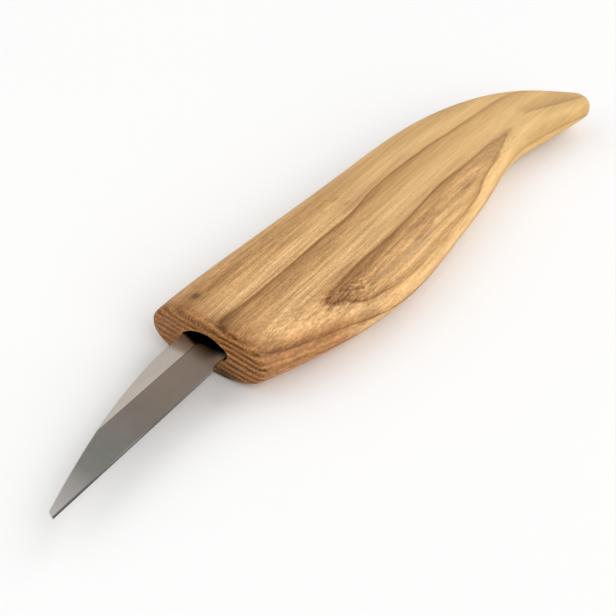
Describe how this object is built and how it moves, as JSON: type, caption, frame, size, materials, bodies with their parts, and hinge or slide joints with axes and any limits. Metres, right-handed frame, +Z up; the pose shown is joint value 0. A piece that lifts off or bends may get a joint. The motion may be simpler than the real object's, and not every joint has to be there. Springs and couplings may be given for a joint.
{
  "type": "wood carving knife",
  "caption": "Hand carving knife: a curved ash grip with a swollen belly and a swept tail holds a short straight-edged steel blade, its tang set in black filler.",
  "frame": {"origin": "under the middle of the whole knife, on the surface that its broad side lies on", "axes": "+X along the knife towards the blade's tip, +Y towards the cutting-edge side, +Z up through the handle's thickness"},
  "size_m": [0.19, 0.041, 0.0136],
  "materials": {
    "handle_wood": "oiled ash with dark latewood bands, satin",
    "blade_steel": "satin ground carbon steel",
    "black_filler": "set black epoxy, smooth"
  },
  "bodies": {
    "root": {"handle": "handle_wood", "blade": "blade_steel", "adhesive": "black_filler"}
  },
  "joints": []
}
